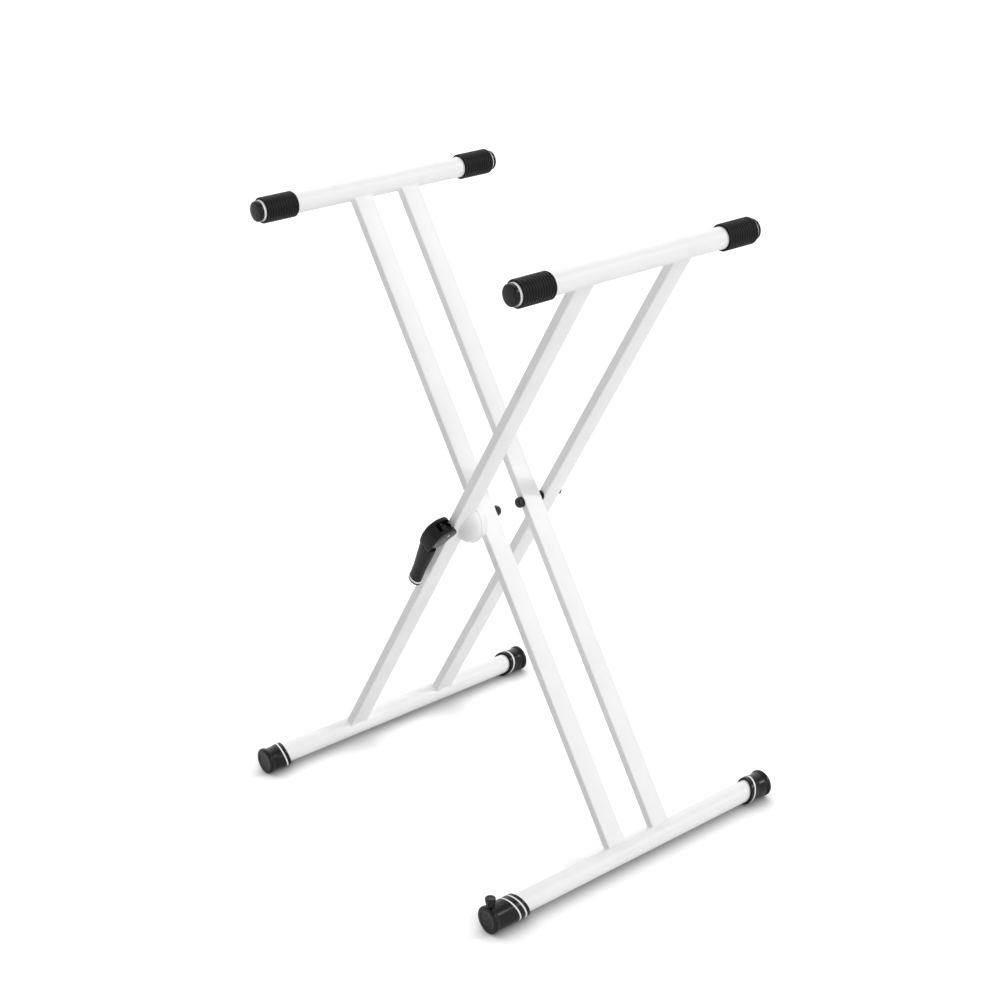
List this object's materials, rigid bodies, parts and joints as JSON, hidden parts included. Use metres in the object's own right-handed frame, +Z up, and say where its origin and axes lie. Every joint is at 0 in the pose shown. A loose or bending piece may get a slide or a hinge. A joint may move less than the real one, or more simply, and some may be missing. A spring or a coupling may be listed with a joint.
{
  "type": "folding keyboard stand",
  "caption": "Folding double-braced X stand with round base and support tubes, rubber sleeves and a cam lever lock.",
  "frame": {"origin": "on the floor under the middle of the whole stand, open at its full height", "axes": "+Z up; +X from the left base tube to the right one; +Y along the tubes, away from the lock lever"},
  "size_m": [0.65, 0.5896, 0.9818],
  "materials": {
    "white_powder_coat": "smooth white powder coat on steel, fine orange-peel texture",
    "white_moulding": "plain white moulded plastic",
    "black_moulding": "satin black moulded plastic",
    "black_rubber": "soft black rubber with fine ribs",
    "black_steel": "black-finished steel fasteners",
    "plain_steel": "bright plated steel",
    "friction_lining": "dark grey friction lining"
  },
  "bodies": {
    "outer_frame": {"left_base_tube": "white_powder_coat", "right_support_tube": "white_powder_coat", "right_sleeve_front": "black_rubber", "right_plug_front": "black_moulding", "right_sleeve_rear": "black_rubber", "right_plug_rear": "black_moulding", "left_base_cap_front": "black_moulding", "left_base_ring_front": "white_moulding", "left_base_cap_rear": "black_moulding", "left_base_ring_rear": "white_moulding", "outer_front_brace": "white_powder_coat", "outer_rear_brace": "white_powder_coat", "outer_front_pivot_sleeve": "plain_steel", "outer_rear_pivot_sleeve": "plain_steel", "lock_plate": "white_powder_coat", "release_spring": "plain_steel", "rear_pivot_bolt": "black_steel", "rear_pivot_nut": "black_steel", "rear_pivot_washer": "black_steel", "rear_pivot_spacer": "black_moulding", "lever_washer": "black_steel"},
    "inner_frame": {"right_base_tube": "white_powder_coat", "left_support_tube": "white_powder_coat", "left_sleeve_front": "black_rubber", "left_plug_front": "black_moulding", "left_sleeve_rear": "black_rubber", "left_plug_rear": "black_moulding", "right_base_cap_rear": "black_moulding", "right_base_ring_rear": "white_moulding", "inner_front_brace": "white_powder_coat", "inner_rear_brace": "white_powder_coat", "inner_front_pivot_sleeve": "plain_steel", "inner_rear_pivot_sleeve": "plain_steel", "lock_drum": "white_powder_coat", "lock_lining": "friction_lining", "levelling_cap": "black_moulding", "levelling_ring_outer": "white_moulding", "levelling_ring_inner": "white_moulding"},
    "rod": {"pull_rod": "black_steel", "front_pivot_nut": "black_steel", "front_pivot_washer": "black_steel"},
    "lever": {"lever_fork": "black_moulding", "lever_pin": "plain_steel", "lever_grip": "black_rubber", "lever_ring": "white_moulding", "lever_end_cap": "black_moulding"},
    "knob": {"levelling_knob": "black_moulding", "levelling_screw": "plain_steel"},
    "foot": {"levelling_foot": "black_moulding"}
  },
  "joints": [
    {"name": "fold", "type": "hinge", "parent": "outer_frame", "child": "inner_frame", "pos_m": [0, 0, 0.49767], "axis": [0, 1, 0], "range_deg": [-50, 58]},
    {"name": "rod_slide", "type": "slide", "parent": "outer_frame", "child": "rod", "axis": [0, 1, 0], "range_m": [0, 0.0015]},
    {"name": "lever_swing", "type": "hinge", "parent": "rod", "child": "lever", "pos_m": [0, -0.11155, 0.49767], "axis": [-0.8434, 0, 0.5373], "range_deg": [0, 90]},
    {"name": "levelling_turn", "type": "hinge", "parent": "inner_frame", "child": "knob", "pos_m": [0.30304, -0.28625, 0.06], "axis": [0, 0, 1], "range_deg": [0, 1080]},
    {"name": "levelling_foot", "type": "slide", "parent": "inner_frame", "child": "foot", "axis": [0, 0, -1], "range_m": [0, 0.006]}
  ],
  "couplings": [
    {"joint": "rod_slide", "follows": "lever_swing", "m_per_rad": 0.00095493},
    {"joint": "levelling_foot", "follows": "levelling_turn", "m_per_rad": 0.0003183}
  ]
}
